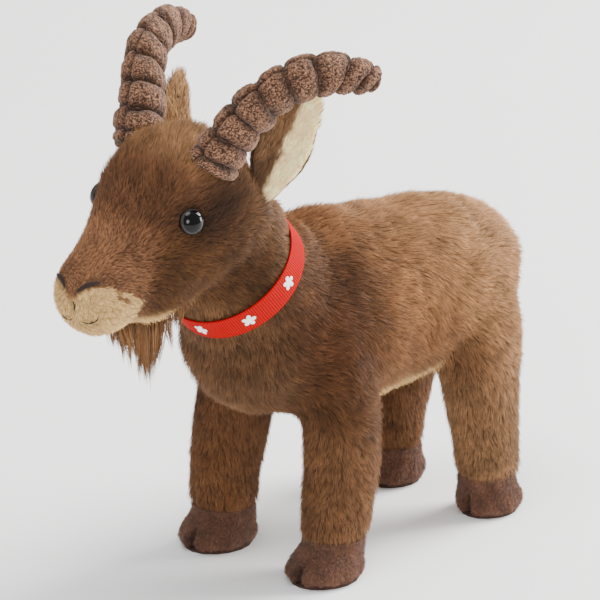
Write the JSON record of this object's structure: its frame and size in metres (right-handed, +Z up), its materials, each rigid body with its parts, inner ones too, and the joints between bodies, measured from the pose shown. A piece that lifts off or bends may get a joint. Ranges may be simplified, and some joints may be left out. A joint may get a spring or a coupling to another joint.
{
  "type": "plush ibex",
  "caption": "Standing soft toy ibex in brown plush with ringed backswept fabric horns, pale muzzle, a beard, cloven fabric hooves and a ribbon collar.",
  "frame": {"origin": "on the ground, below the middle of the bounding box", "axes": "+Z up, the animal faces -Y, and its left side is +X"},
  "size_m": [0.137, 0.3208, 0.284],
  "materials": {
    "brown_plush": "deep pile",
    "dark_pile": "long pile",
    "cream_plush": "short pile",
    "hoof_plush": "short pile",
    "sole_felt": "matte",
    "horn_terry": "looped pile",
    "red_ribbon": "ribbed, slight sheen",
    "dark_thread": "matte",
    "fibre_filling": "matte",
    "eye_plastic": "glossy",
    "clear_plastic": "matte"
  },
  "bodies": {
    "toy": {"torso_pelt": "brown_plush", "belly_gusset": "cream_plush", "neck_pelt": "brown_plush", "torso_filling": "fibre_filling", "head_pelt": "brown_plush", "muzzle": "cream_plush", "head_filling": "fibre_filling", "left_nostril_stitch": "dark_thread", "right_nostril_stitch": "dark_thread", "mouth_stitch": "dark_thread", "left_eye": "eye_plastic", "left_eye_washer": "clear_plastic", "right_eye": "eye_plastic", "right_eye_washer": "clear_plastic", "left_horn": "horn_terry", "left_horn_filling": "fibre_filling", "right_horn": "horn_terry", "right_horn_filling": "fibre_filling", "front_left_leg_pelt": "brown_plush", "front_left_leg_filling": "fibre_filling", "front_left_hoof": "hoof_plush", "front_left_sole": "sole_felt", "front_right_leg_pelt": "brown_plush", "front_right_leg_filling": "fibre_filling", "front_right_hoof": "hoof_plush", "front_right_sole": "sole_felt", "hind_left_leg_pelt": "brown_plush", "hind_left_leg_filling": "fibre_filling", "hind_left_hoof": "hoof_plush", "hind_left_sole": "sole_felt", "hind_right_leg_pelt": "brown_plush", "hind_right_leg_filling": "fibre_filling", "hind_right_hoof": "hoof_plush", "hind_right_sole": "sole_felt"},
    "left_ear": {"left_ear_back": "brown_plush", "left_ear_lining": "cream_plush"},
    "right_ear": {"right_ear_back": "brown_plush", "right_ear_lining": "cream_plush"},
    "beard": {"beard": "dark_pile"},
    "tail": {"tail": "brown_plush"},
    "collar": {"collar_ribbon": "red_ribbon"}
  },
  "joints": [
    {"name": "left_ear_flex", "type": "hinge", "parent": "toy", "child": "left_ear", "pos_m": [0.032, -0.0598, 0.214], "axis": [0.5052, 0.6632, -0.5522], "range_deg": [-18, 12], "stiffness_Nm_per_rad": 0.02},
    {"name": "right_ear_flex", "type": "hinge", "parent": "toy", "child": "right_ear", "pos_m": [-0.033, -0.0508, 0.212], "axis": [0.175, -0.9428, 0.2839], "range_deg": [-20, 12], "stiffness_Nm_per_rad": 0.02},
    {"name": "beard_swing", "type": "hinge", "parent": "toy", "child": "beard", "pos_m": [0, -0.1098, 0.163], "axis": [0, 1, 0], "range_deg": [-20, 20], "stiffness_Nm_per_rad": 0.01},
    {"name": "tail_lift", "type": "hinge", "parent": "toy", "child": "tail", "pos_m": [0, 0.1472, 0.146], "axis": [1, 0, 0], "range_deg": [0, 55], "stiffness_Nm_per_rad": 0.02},
    {"name": "collar_turn", "type": "hinge", "parent": "toy", "child": "collar", "pos_m": [0, -0.0418, 0.1625], "axis": [0, -0.6628, 0.7488], "continuous": true}
  ]
}
